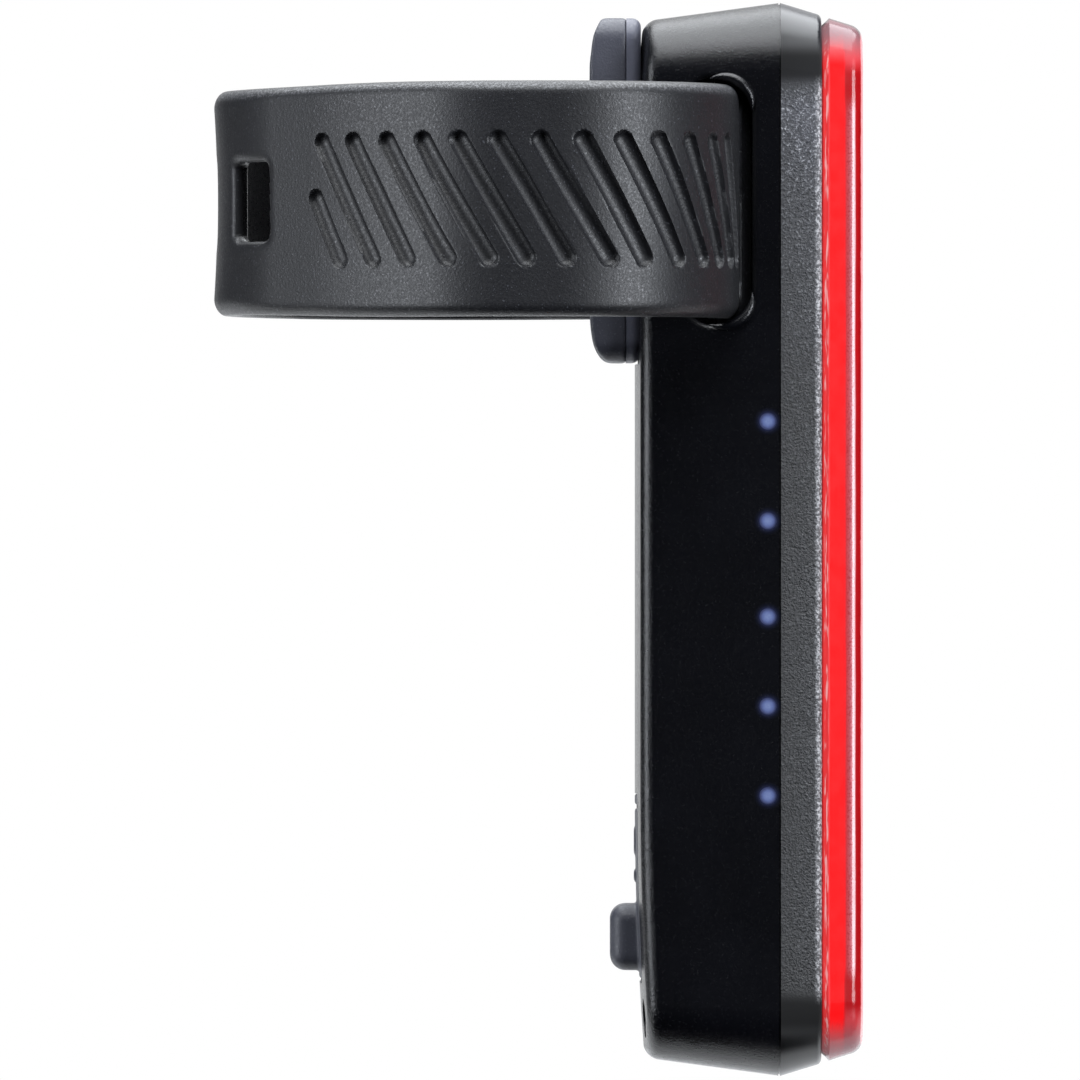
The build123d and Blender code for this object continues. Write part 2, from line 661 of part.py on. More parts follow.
with BuildPart() as strap_band:
    with BuildSketch(Plane.XY.offset(-strap_hh)):
        with BuildLine():
            band_outline(band_mid, strap_t, round_end=True)
        make_face()
        # eyelet round the anchor pin
        with Locations((pin_x, pin_y)):
            Circle(1.95)
    extrude(amount=2 * strap_hh)
    with Locations((pin_x, pin_y, 0)):
        Cylinder(pin_r + 0.03, 30, mode=Mode.SUBTRACT)
    for ang in (-33.7, 7.2):
        with BuildSketch(slot_plane(ang, r_mid - 3)):
            RectangleRounded(slot_l, slot_h, slot_r)
        extrude(amount=6, mode=Mode.SUBTRACT)
    # the slot just past the 45 degree point
    a = radians(41.5)
    with BuildSketch(Plane(
        origin=(p45[0] + 0.99 + 4 * sin(a), p45[1] + 0.93 - 4 * cos(a), 0),
        x_dir=(cos(a), sin(a), 0), z_dir=(-sin(a), cos(a), 0))):
        RectangleRounded(slot_l, slot_h, slot_r)
    extrude(amount=8, mode=Mode.SUBTRACT)
strap_band.part.label = "strap_band"
export_step(strap_band.part, "parts/strap_band.step")
print("strap_band", strap_band.part.is_valid, len(strap_band.solids()), strap_band.part.bounding_box())

with BuildPart() as strap_tail:
    with BuildSketch(Plane.XY.offset(-strap_hh)):
        with BuildLine():
            band_outline(tail_path, strap_t)
        make_face()
    extrude(amount=2 * strap_hh)
    # rounded pull tab
    tip_edges = strap_tail.edges().filter_by(Axis.Y).sort_by(Axis.X)[-2:]
    fillet(tip_edges, 4.0)
    # slots along the tail, the last one over the peg
    with BuildSketch(side_plane(0)):
        with Locations((0.35, 0), (12.2, 0), (24.1, 0)):
            RectangleRounded(slot_l, slot_h, slot_r)
    extrude(amount=-30, mode=Mode.SUBTRACT)
strap_tail.part.label = "strap_tail"
export_step(strap_tail.part, "parts/strap_tail.step")
print("strap_tail", strap_tail.part.is_valid, len(strap_tail.solids()), strap_tail.part.bounding_box())

with BuildPart() as strap_anchor_pin:
    with Locations((pin_x, pin_y, 0)):
        Cylinder(pin_r, 23.0)
strap_anchor_pin.part.label = "strap_anchor_pin"
export_step(strap_anchor_pin.part, "parts/strap_anchor_pin.step")
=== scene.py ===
import bpy
import bmesh
import numpy as np
from math import sin, cos, tan, radians, sqrt, pi, atan2
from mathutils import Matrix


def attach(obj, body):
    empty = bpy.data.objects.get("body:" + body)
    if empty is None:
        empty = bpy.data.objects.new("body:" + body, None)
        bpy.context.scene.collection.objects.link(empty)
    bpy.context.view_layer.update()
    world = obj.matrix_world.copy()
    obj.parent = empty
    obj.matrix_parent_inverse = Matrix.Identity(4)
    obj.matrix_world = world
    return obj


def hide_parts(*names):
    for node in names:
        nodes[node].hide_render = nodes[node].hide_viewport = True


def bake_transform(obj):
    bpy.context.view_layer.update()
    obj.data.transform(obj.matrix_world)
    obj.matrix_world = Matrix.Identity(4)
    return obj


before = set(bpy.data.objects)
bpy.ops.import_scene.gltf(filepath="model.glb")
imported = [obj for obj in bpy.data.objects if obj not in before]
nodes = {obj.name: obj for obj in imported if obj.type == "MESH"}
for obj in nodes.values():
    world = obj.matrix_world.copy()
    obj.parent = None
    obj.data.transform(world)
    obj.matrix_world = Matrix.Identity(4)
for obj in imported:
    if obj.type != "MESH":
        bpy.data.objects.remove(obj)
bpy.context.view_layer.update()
scene = bpy.context.scene
MM = 0.001

# ------------------------------------------------------------------ camera
# The photograph is a square-on side view from far away: its centre looks at X 10.06 mm, Z -28.3 mm,
# and its frame is 90.6 mm wide there.
PXMM = 11.87            # photograph's pixels per millimetre in the plane Y = 0
CX, CZ = 10.06, -28.3
CAM_D = 1450.0
cam_data = bpy.data.cameras.new("photo_camera")
cam = bpy.data.objects.new("photo_camera", cam_data)
scene.collection.objects.link(cam)
cam.location = (CX * MM, -CAM_D * MM, CZ * MM)
cam.rotation_euler = (radians(90), 0, 0)
cam_data.sensor_width = 36.0
cam_data.lens = 36.0 * CAM_D / (1080 / PXMM)
cam_data.clip_start = 0.05
cam_data.clip_end = 20
scene.camera = cam


# ------------------------------------------------------------------ material helpers
class Mat:
    """A small builder for one procedural material."""

    def __init__(self, name):
        self.m = bpy.data.materials.new(name)
        self.m.use_nodes = True
        self.t = self.m.node_tree
        self.b = self.t.nodes["Principled BSDF"]
        self.coord = self.t.nodes.new("ShaderNodeTexCoord")

    def node(self, kind, **inputs):
        n = self.t.nodes.new(kind)
        for k, v in inputs.items():
            self.put(n, k, v)
        return n

    def put(self, n, key, value):
        key = key.replace("_", " ")
        sock = n.inputs[int(key)] if key.isdigit() else n.inputs[key]
        if isinstance(value, bpy.types.NodeSocket):
            self.t.links.new(value, sock)
        else:
            sock.default_value = value

    def link(self, out, sock):
        self.t.links.new(out, sock)

    def noise(self, scale, detail=2.0, rough=0.5, vec=None, distortion=0.0):
        n = self.t.nodes.new("ShaderNodeTexNoise")
        n.inputs["Scale"].default_value = scale
        n.inputs["Detail"].default_value = detail
        n.inputs["Roughness"].default_value = rough
        n.inputs["Distortion"].default_value = distortion
        self.link(vec if vec is not None else self.coord.outputs["Object"], n.inputs["Vector"])
        return n.outputs["Fac"]

    def ramp(self, fac, stops, interp="LINEAR"):
        n = self.t.nodes.new("ShaderNodeValToRGB")
        n.color_ramp.interpolation = interp
        els = n.color_ramp.elements
        while len(els) < len(stops):
            els.new(0.5)
        for e, (p, c) in zip(els, stops):
            e.position = p
            e.color = (c[0], c[1], c[2], 1.0) if hasattr(c, "__len__") else (c, c, c, 1.0)
        self.link(fac, n.inputs["Fac"])
        return n.outputs["Color"]

    def math(self, op, a, b=None, c=None, clamp=False):
        n = self.t.nodes.new("ShaderNodeMath")
        n.operation = op
        n.use_clamp = clamp
        for i, v in enumerate((a, b, c)):
            if v is None:
                continue
            if isinstance(v, bpy.types.NodeSocket):
                self.link(v, n.inputs[i])
            else:
                n.inputs[i].default_value = v
        return n.outputs[0]

    def maprange(self, v, a, b, c, d, smooth=False):
        n = self.t.nodes.new("ShaderNodeMapRange")
        n.interpolation_type = "SMOOTHSTEP" if smooth else "LINEAR"
        n.clamp = True
        self.link(v, n.inputs["Value"])
        for k, x in zip(("From Min", "From Max", "To Min", "To Max"), (a, b, c, d)):
            n.inputs[k].default_value = x
        return n.outputs["Result"]

    def mix(self, fac, a, b, blend="MIX"):
        n = self.t.nodes.new("ShaderNodeMix")
        n.data_type = "RGBA"
        n.blend_type = blend
        for sock, v in ((n.inputs["Factor"], fac), (n.inputs[6], a), (n.inputs[7], b)):
            if isinstance(v, bpy.types.NodeSocket):
                self.link(v, sock)
            elif hasattr(v, "__len__"):
                sock.default_value = (v[0], v[1], v[2], 1.0)
            else:
                sock.default_value = v
        return n.outputs[2]

    def xyz(self):
        n = self.t.nodes.new("ShaderNodeSeparateXYZ")
        self.link(self.coord.outputs["Object"], n.inputs[0])
        return n.outputs

    def bump(self, height, strength, distance, normal=None):
        n = self.t.nodes.new("ShaderNodeBump")
        n.inputs["Strength"].default_value = strength
        n.inputs["Distance"].default_value = distance
        self.link(height, n.inputs["Height"])
        if normal is not None:
            self.link(normal, n.inputs["Normal"])
        return n.outputs["Normal"]

    def set(self, **kw):
        for k, v in kw.items():
            sock = self.b.inputs[k.replace("_", " ")]
            if isinstance(v, bpy.types.NodeSocket):
                self.link(v, sock)
            elif hasattr(v, "__len__") and len(v) == 3 and sock.type == "RGBA":
                sock.default_value = (v[0], v[1], v[2], 1.0)
            else:
                sock.default_value = v
        return self


# ------------------------------------------------------------------ materials
DOT_X = 0.02911
DOT_Z = [-0.01838, -0.02670, -0.03471, -0.04219, -0.04967]


def dot_distance(m, x, z):
    dx = m.math("SUBTRACT", x, DOT_X)
    best = None
    for zc in DOT_Z:
        dz = m.math("SUBTRACT", z, zc)
        r = m.math("SQRT", m.math("ADD", m.math("MULTIPLY", dx, dx), m.math("MULTIPLY", dz, dz)))
        best = r if best is None else m.math("MINIMUM", best, r)
    return best


def mat_casing():
    m = Mat("casing_black")
    big = m.noise(90.0, 3.0, 0.55)
    grain = m.noise(5200.0, 3.0, 0.6)
    fine = m.noise(11000.0, 2.0, 0.6)
    col = m.ramp(big, [(0.30, (0.0010, 0.0011, 0.0018)), (0.70, (0.0026, 0.0028, 0.0042))])
    col = m.mix(m.maprange(fine, 0.58, 0.80, 0.0, 0.25), col, (0.012, 0.012, 0.015))
    m.set(Base_Color=col)
    rough = m.maprange(grain, 0.25, 0.75, 0.20, 0.29)
    m.set(Roughness=rough)
    m.set(Normal=m.bump(fine, 0.5, 0.00005, m.bump(grain, 0.5, 0.00006)))
    x, y, z = m.xyz()
    # painted glow: the near-side casing round each indicator gets a blue emission, standing in for light spilling from
    # the pipes
    near_side = m.maprange(y, -0.0100, -0.0090, 1.0, 0.0)
    painted_led_glow = m.math("MULTIPLY", m.maprange(dot_distance(m, x, z), 0.00060, 0.00125, 1.0, 0.0, True), near_side)
    m.set(Emission_Color=m.ramp(painted_led_glow, [(0.0, 0.0), (0.5, (0.003, 0.004, 0.012)), (1.0, (0.014, 0.018, 0.050))]))
    m.b.inputs["Emission Strength"].default_value = 1.0
    m.b.inputs["Specular IOR Level"].default_value = 0.46
    return m.m


def mat_bezel():
    m = Mat("bezel_grain")
    cells = m.t.nodes.new("ShaderNodeTexVoronoi")
    cells.inputs["Scale"].default_value = 5200.0
    m.link(m.coord.outputs["Object"], cells.inputs["Vector"])
    grain = m.noise(4200.0, 3.0, 0.65)
    big = m.noise(140.0, 3.0, 0.5)
    x, y, z = m.xyz()
    zz = m.math("ABSOLUTE", m.math("ADD", z, 0.02825))
    run = m.maprange(zz, 0.0372, 0.0390, 1.0, 0.0, True)
    grain_here = m.math("ADD", m.math("MULTIPLY", grain, run), m.math("MULTIPLY", m.math("SUBTRACT", 1.0, run), 0.52))
    col = m.ramp(grain_here, [(0.42, (0.018, 0.0185, 0.0260)), (0.56, (0.075, 0.077, 0.094)), (0.72, (0.700, 0.710, 0.750))])
    col = m.mix(m.maprange(big, 0.35, 0.7, 0.0, 0.25), col, (0.110, 0.114, 0.130))
    # painted light and shade: the bezel's colour is scaled by bright and dark bands along its height
    along = m.ramp(m.maprange(z, -0.0733, 0.0168, 0.0, 1.0), [
        (0.00, 0.12), (0.05, 0.02), (0.07, 0.02), (0.12, 0.14), (0.63, 0.13), (0.82, 0.38), (0.90, 0.95), (0.93, 0.08), (0.95, 0.02), (1.00, 0.40)])
    # painted light: the bezel gets brighter towards the front, where the light falls
    across = m.ramp(m.maprange(x, 0.0273, 0.0337, 0.0, 1.0), [(0.0, 0.30), (0.45, 0.60), (0.85, 1.0)])
    col = m.mix(1.0, col, along, "MULTIPLY")
    col = m.mix(1.0, col, across, "MULTIPLY")
    # painted highlight along the front rim, broken into pale speckle by the grain
    rim = m.math("MULTIPLY", m.maprange(x, 0.03295, 0.03335, 0.0, 1.0, True), m.math("MULTIPLY", m.maprange(grain, 0.45, 0.62, 0.15, 1.0), run))
    col = m.mix(m.math("MULTIPLY", rim, 0.85), col, (0.55, 0.55, 0.57))
    m.set(Base_Color=col)
    m.set(Roughness=m.math("ADD", m.math("MULTIPLY", m.math("ADD", m.maprange(grain, 0.3, 0.7, 0.28, 0.44), m.maprange(x, 0.0285, 0.0325, 0.24, 0.0)), run), m.math("MULTIPLY", m.math("SUBTRACT", 1.0, run), m.maprange(zz, 0.0402, 0.0424, 1.0, 0.28, True))))
    m.set(Normal=m.bump(grain_here, 1.0, 0.00014, m.bump(m.math("MULTIPLY", cells.outputs["Distance"], run), 0.6, 0.00006)))
    m.b.inputs["Specular IOR Level"].default_value = 0.55
    return m.m


def mat_rubber(name, tone=1.0, rough=0.5, inner=False):
    m = Mat(name)
    grain = m.noise(3600.0, 3.0, 0.6)
    fleck = m.noise(5600.0, 1.0, 0.5)
    big = m.noise(120.0, 3.0, 0.55)
    lo = (0.0050 * tone, 0.0052 * tone, 0.0070 * tone)
    hi = (0.0070 * tone, 0.0073 * tone, 0.0096 * tone)
    col = m.ramp(big, [(0.3, lo), (0.7, hi)])
    col = m.mix(m.maprange(fleck, 0.655, 0.74, 0.0, 0.6), col, (0.085, 0.088, 0.100))
    gloss = m.maprange(fleck, 0.35, 0.75, rough + 0.05, rough - 0.10)
    if inner:
        # painted highlight: pale speckle on the upward-facing shoulder of the top edge
        geo = m.t.nodes.new("ShaderNodeNewGeometry")
        up = m.t.nodes.new("ShaderNodeSeparateXYZ")
        m.link(geo.outputs["Normal"], up.inputs[0])
        painted_edge_highlight = m.math("MULTIPLY", m.maprange(up.outputs[2], 0.20, 0.55, 0.0, 1.0, True), m.maprange(up.outputs[2], 0.72, 0.93, 1.0, 0.0, True))
        x, y, z = m.xyz()
        painted_edge_highlight = m.math("MULTIPLY", m.math("MULTIPLY", painted_edge_highlight, m.maprange(z, 0.0078, 0.0086, 0.0, 1.0)), m.maprange(fleck, 0.46, 0.62, 0.08, 1.0))
        col = m.mix(painted_edge_highlight, col, (0.075, 0.076, 0.082))
        # painted shade: the face round the post and the slots' walls are darkened where the enclosed inside lies in
        # shadow; their roughness is also lowered
        r = m.math("POWER", m.math("ADD", m.math("MULTIPLY", x, x), m.math("MULTIPLY", y, y)), 0.5)
        painted_inner_shade = m.math("MULTIPLY", m.maprange(r, 0.0163, 0.0168, 1.0, 0.0), m.maprange(x, -0.0108, -0.0104, 1.0, 0.0))
        col = m.mix(painted_inner_shade, col, (0.0010, 0.0010, 0.0013))
        gloss = m.math("ADD", gloss, m.math("MULTIPLY", painted_inner_shade, -0.16))
    m.set(Base_Color=col)
    m.set(Roughness=gloss)
    m.set(Normal=m.bump(fleck, 0.5, 0.00003, m.bump(grain, 0.42, 0.00006)))
    m.b.inputs["Specular IOR Level"].default_value = 0.5
    m.b.inputs["Sheen Weight"].default_value = 0.02
    m.b.inputs["Sheen Roughness"].default_value = 0.4
    return m.m


def mat_lens():
    m = Mat("lens_red")
    x, y, z = m.xyz()
    # depth bands seen through the side wall: lit cavity, dark step, front wall; the pink line at 0.17 and the pale pink
    # stops from 0.67 to 0.80 are painted highlights
    stops = [
        (0.000, (0.10, 0.004, 0.004)), (0.030, (0.45, 0.010, 0.010)), (0.055, (0.95, 0.055, 0.060)), (0.090, (0.98, 0.060, 0.065)), (0.150, (0.80, 0.040, 0.045)),
        (0.170, (0.95, 0.10, 0.11)), (0.205, (0.90, 0.006, 0.007)), (0.500, (0.88, 0.006, 0.007)), (0.565, (0.60, 0.006, 0.010)),
        (0.600, (0.24, 0.030, 0.040)), (0.670, (0.20, 0.080, 0.100)), (0.730, (0.36, 0.22, 0.26)), (0.765, (0.70, 0.54, 0.58)), (0.800, (0.50, 0.34, 0.37)), (0.825, (0.15, 0.006, 0.010)), (0.900, (0.10, 0.002, 0.003)),
    ]
    fx = m.maprange(x, 0.0336, 0.0371, 0.0, 1.0)
    # faint drawn streaks along the height
    mp = m.t.nodes.new("ShaderNodeMapping")
    mp.inputs["Scale"].default_value = (1.0, 1.0, 0.02)
    m.link(m.coord.outputs["Object"], mp.inputs["Vector"])
    streak = m.noise(5200.0, 3.0, 0.6, vec=mp.outputs["Vector"])
    fx = m.math("ADD", fx, m.maprange(streak, 0.3, 0.7, -0.012, 0.012))
    side = m.mix(m.maprange(streak, 0.50, 0.72, 0.0, 0.28), m.ramp(fx, stops), (0.60, 0.010, 0.012))
    zz = m.math("ADD", z, 0.02825)
    az = m.math("ABSOLUTE", zz)
    # bright flecks drawn out along the joint, a dark line beside them
    mq = m.t.nodes.new("ShaderNodeMapping")
    mq.inputs["Scale"].default_value = (1.0, 1.0, 0.12)
    m.link(m.coord.outputs["Object"], mq.inputs["Vector"])
    drawn = m.noise(3600.0, 2.0, 0.6, vec=mq.outputs["Vector"])
    flecks = m.math("MULTIPLY", m.maprange(drawn, 0.52, 0.62, 0.0, 1.0), m.ramp(fx, [(0.06, 0.0), (0.085, 1.0), (0.15, 1.0), (0.18, 0.0)]))
    side = m.mix(m.math("MULTIPLY", flecks, 0.75), side, (1.0, 0.62, 0.62))
    speck = m.math("MULTIPLY", m.maprange(m.noise(6500.0, 2.0, 0.6), 0.48, 0.62, 0.0, 0.7), m.ramp(fx, [(0.56, 0.0), (0.62, 1.0), (0.74, 1.0), (0.78, 0.0)]))
    side = m.mix(speck, side, (0.09, 0.012, 0.018))
    # painted reflection: the pale band on the side wall stops short of both ends, with a painted dark patch there
    wall = m.ramp(fx, [(0.52, 0.0), (0.60, 1.0), (0.90, 1.0), (1.0, 0.6)])
    painted_dark_patch = m.math("MULTIPLY", wall, m.math("MULTIPLY", m.maprange(az, 0.0355, 0.0372, 0.0, 1.0, True), m.maprange(az, 0.0390, 0.0410, 1.0, 0.0, True)))
    side = m.mix(painted_dark_patch, side, (0.16, 0.004, 0.006))
    plain = m.math("MULTIPLY", wall, m.maprange(az, 0.0388, 0.0405, 0.0, 1.0, True))
    side = m.mix(plain, side, (0.42, 0.05, 0.06))
    # smoky clear ends
    smoke = m.maprange(m.math("ABSOLUTE", m.math("ADD", zz, 0.0004)), 0.0398, 0.0430, 0.0, 1.0, True)
    smoke = m.math("MULTIPLY", smoke, m.maprange(streak, 0.25, 0.75, 0.80, 1.0))
    side = m.mix(smoke, side, (0.24, 0.15, 0.165))
    # front: emitters glow through the frosted sheet
    wave = m.math("COSINE", m.math("MULTIPLY", zz, 2 * pi / 0.00455))
    # emitters sit half a pitch off the middle
    dots = m.maprange(m.math("MULTIPLY", wave, -1.0), -1.0, 1.0, 0.45, 1.0, True)
    ay = m.math("ABSOLUTE", y)
    across = m.maprange(ay, 0.0, 0.0062, 1.0, 0.12, True)
    ends = m.maprange(m.math("ABSOLUTE", zz), 0.0345, 0.0395, 1.0, 0.10, True)
    glow = m.math("MULTIPLY", m.math("MULTIPLY", dots, across), ends)
    front = m.ramp(glow, [(0.0, (0.16, 0.002, 0.003)), (0.35, (0.45, 0.006, 0.008)), (0.75, (0.95, 0.020, 0.022)), (1.0, (1.0, 0.10, 0.085))])
    geo = m.t.nodes.new("ShaderNodeNewGeometry")
    nsep = m.t.nodes.new("ShaderNodeSeparateXYZ")
    m.link(geo.outputs["Normal"], nsep.inputs[0])
    facing = m.maprange(nsep.outputs[0], 0.80, 0.98, 0.0, 1.0, True)
    col = m.mix(facing, side, front)
    # painted reflection: at a glancing look the rounded front edge turns pale; painted shade: the smoky ends turn dark
    lw = m.t.nodes.new("ShaderNodeLayerWeight")
    lw.inputs["Blend"].default_value = 0.5
    glance = lw.outputs["Facing"]
    edge = m.math("MULTIPLY", m.maprange(nsep.outputs[0], 0.82, 0.88, 0.0, 1.0), m.maprange(nsep.outputs[0], 0.980, 0.994, 1.0, 0.0))
    col = m.mix(m.math("MULTIPLY", edge, m.maprange(glance, 0.42, 0.66, 0.0, 0.85, True)), col, (0.95, 0.56, 0.59))
    body = m.mix(0.55, col, (0.42, 0.004, 0.006))
    ends_in = m.math("MULTIPLY", m.maprange(az, 0.0396, 0.0428, 0.0, 1.0, True), m.math("SUBTRACT", 1.0, facing))
    body = m.mix(ends_in, body, (0.10, 0.055, 0.062))
    painted_dark_rim = m.math("MULTIPLY", ends_in, m.maprange(glance, 0.72, 0.93, 0.0, 1.0, True))
    m.set(Base_Color=m.mix(painted_dark_rim, body, (0.01, 0.002, 0.002)))
    m.set(Emission_Color=m.mix(painted_dark_rim, col, (0.02, 0.004, 0.004)))
    m.b.inputs["Emission Strength"].default_value = 0.55
    fine = m.noise(900.0, 2.0, 0.5)
    m.set(Roughness=m.maprange(fine, 0.3, 0.7, 0.15, 0.22))
    m.b.inputs["Specular IOR Level"].default_value = 0.14
    m.b.inputs["IOR"].default_value = 1.5
    m.b.inputs["Coat Weight"].default_value = 0.12
    m.b.inputs["Coat Roughness"].default_value = 0.08
    # fine vertical flutes moulded behind the front face
    flute = m.math("SINE", m.math("MULTIPLY", y, 2 * pi / 0.0011))
    flute = m.math("MULTIPLY", flute, facing)
    m.set(Normal=m.bump(flute, 0.25, 0.00005, m.bump(fine, 0.02, 0.00005)))
    return m.m


def mat_pipes():
    m = Mat("pipe_blue")
    x, y, z = m.xyz()
    glow = m.maprange(dot_distance(m, x, z), 0.00010, 0.00095, 1.0, 0.0, True)
    grain = m.noise(6000.0, 2.0, 0.5)
    glow = m.math("MULTIPLY", glow, m.maprange(grain, 0.3, 0.7, 0.86, 1.0))
    col = m.ramp(glow, [(0.0, (0.010, 0.012, 0.030)), (0.30, (0.035, 0.045, 0.120)), (0.62, (0.085, 0.120, 0.30)), (0.90, (0.140, 0.190, 0.40)), (1.0, (0.165, 0.225, 0.43))])
    m.set(Base_Color=(0.01, 0.011, 0.016), Emission_Color=col, Roughness=m.maprange(grain, 0.3, 0.7, 0.3, 0.4))
    m.b.inputs["Emission Strength"].default_value = 1.0
    return m.m


def mat_simple(name, base, rough, metal=0.0, grain=3000.0, bump=0.08, vary=0.25, coat=0.0):
    m = Mat(name)
    n1 = m.noise(grain, 3.0, 0.6)
    n2 = m.noise(grain * 0.06, 3.0, 0.5)
    dark = tuple(c * (1 - vary) for c in base)
    col = m.ramp(n2, [(0.3, dark), (0.7, base)])
    m.set(Base_Color=col, Roughness=m.maprange(n1, 0.3, 0.7, max(0.05, rough - 0.06), min(1.0, rough + 0.08)))
    m.set(Normal=m.bump(n1, bump, 0.00004))
    m.b.inputs["Metallic"].default_value = metal
    m.b.inputs["Coat Weight"].default_value = coat
    return m.m


def mat_brushed(name, base, rough):
    m = Mat(name)
    mp = m.t.nodes.new("ShaderNodeMapping")
    mp.inputs["Scale"].default_value = (1.0, 12.0, 12.0)
    m.link(m.coord.outputs["Object"], mp.inputs["Vector"])
    n1 = m.noise(1400.0, 4.0, 0.6, vec=mp.outputs["Vector"])
    col = m.ramp(n1, [(0.3, tuple(c * 0.7 for c in base)), (0.7, base)])
    m.set(Base_Color=col, Roughness=m.maprange(n1, 0.3, 0.7, rough - 0.08, rough + 0.1))
    m.set(Normal=m.bump(n1, 0.10, 0.00003))
    m.b.inputs["Metallic"].default_value = 1.0
    return m.m


def mat_board(name, base):
    m = Mat(name)
    br = m.t.nodes.new("ShaderNodeTexBrick")
    br.inputs["Scale"].default_value = 420.0
    br.inputs["Mortar Size"].default_value = 0.03
    br.inputs["Color1"].default_value = (*base, 1)
    br.inputs["Color2"].default_value = (*[c * 0.85 for c in base], 1)
    br.inputs["Mortar"].default_value = (base[0] * 1.8 + 0.01, base[1] * 1.5 + 0.02, base[2] * 1.6 + 0.01, 1)
    mp = m.t.nodes.new("ShaderNodeMapping")
    mp.inputs["Rotation"].default_value = (0, radians(90), 0)
    m.link(m.coord.outputs["Object"], mp.inputs["Vector"])
    m.link(mp.outputs["Vector"], br.inputs["Vector"])
    n1 = m.noise(2500.0, 2.0, 0.5)
    m.set(Base_Color=br.outputs["Color"], Roughness=m.maprange(n1, 0.3, 0.7, 0.28, 0.40))
    m.set(Normal=m.bump(br.outputs["Fac"], 0.2, 0.00003))
    return m.m


M = {
    "casing": mat_casing(),
    "bezel": mat_bezel(),
    "rubber": mat_rubber("strap_rubber", 0.84, 0.48, inner=True),
    "pad": mat_rubber("pad_rubber", 6.4, 0.50),
    "lens": mat_lens(),
    "pipes": mat_pipes(),
    # painted light: the plate's rubber is a lighter copy of the pad's, raised to make up for the shade it sits in
    "plate": mat_rubber("plate_black", 12.0, 0.46),
    "seal": mat_simple("seal_black", (0.02, 0.02, 0.02), 0.6, grain=2500.0),
    "diffuser": mat_simple("diffuser_frost", (0.85, 0.30, 0.30), 0.5, grain=5000.0, bump=0.2, vary=0.1),
    "reflector": mat_simple("reflector_white", (0.82, 0.82, 0.80), 0.3, grain=2000.0, vary=0.05),
    "alu_board": mat_board("board_alu", (0.72, 0.72, 0.72)),
    "emitter": mat_simple("emitter_phosphor", (0.85, 0.55, 0.12), 0.45, grain=4000.0, bump=0.2),
    "board": mat_board("board_green", (0.012, 0.11, 0.04)),
    "chip": mat_simple("chip_black", (0.018, 0.018, 0.020), 0.5, grain=6000.0, bump=0.2),
    "gold": mat_simple("contact_gold", (0.80, 0.58, 0.22), 0.25, 1.0),
    "blue": mat_simple("led_blue", (0.25, 0.35, 0.85), 0.3, coat=0.5),
    "socket": mat_brushed("socket_steel", (0.62, 0.62, 0.64), 0.3),
    "screw": mat_brushed("screw_steel", (0.46, 0.46, 0.48), 0.34),
    # painted shade: the pin is coloured near black so the pocket it sits in reads dark
    "pin": mat_brushed("pin_black", (0.030, 0.030, 0.033), 0.45),
    "white": mat_simple("stem_white", (0.75, 0.75, 0.74), 0.4, vary=0.06),
    "foil": mat_simple("cell_foil", (0.62, 0.64, 0.67), 0.32, 0.9, grain=900.0, bump=0.3),
    "foam": mat_simple("foam_grey", (0.10, 0.10, 0.11), 0.95, grain=2200.0, bump=0.8),
    "wire": mat_simple("wire_red", (0.45, 0.015, 0.015), 0.45, grain=3000.0),
}
NODE_MAT = {
    "rear_casing": "casing", "front_bezel": "bezel", "lens": "lens", "lens_gasket": "seal", "casing_seal": "seal",
    "light_diffuser": "diffuser", "reflector_frame": "reflector", "led_board": "alu_board", "led_emitters": "emitter",
    "main_pcb": "board", "board_components": "chip", "board_pins": "gold", "indicator_leds": "blue",
    "indicator_light_pipes": "pipes", "usb_c_socket": "socket", "tact_switch": "chip", "switch_plunger": "white",
    "power_button": "rubber", "battery_cell": "foil", "battery_foam_pad": "foam", "battery_leads": "wire",
    "casing_screws": "screw", "saddle_screws": "screw", "saddle_plate": "plate", "saddle_pad": "pad",
    "strap_band": "rubber", "strap_tail": "rubber", "strap_anchor_pin": "pin", "port_cover": "pad", "port_cover_root": "pad",
}
for name, key in NODE_MAT.items():
    o = nodes[name]
    o.data.materials.clear()
    o.data.materials.append(M[key])


def new_object(name, verts, faces, mat, smooth_angle=40.0):
    me = bpy.data.meshes.new(name)
    me.from_pydata([tuple(v) for v in verts], [], faces)
    me.validate(clean_customdata=False)
    bm = bmesh.new()
    bm.from_mesh(me)
    bmesh.ops.remove_doubles(bm, verts=bm.verts, dist=2e-6)
    bmesh.ops.dissolve_degenerate(bm, edges=bm.edges, dist=1e-6)
    bmesh.ops.recalc_face_normals(bm, faces=bm.faces)
    bm.to_mesh(me)
    bm.free()
    for p in me.polygons:
        p.use_smooth = True
    me.set_sharp_from_angle(angle=radians(smooth_angle))
    me.materials.append(mat)
    o = bpy.data.objects.new(name, me)
    scene.collection.objects.link(o)
    return o


# ------------------------------------------------------------------ strap
R_MID = 16.6
T = 0.8                                   # half thickness
P45 = (-R_MID * cos(radians(45)), R_MID * sin(radians(45)))


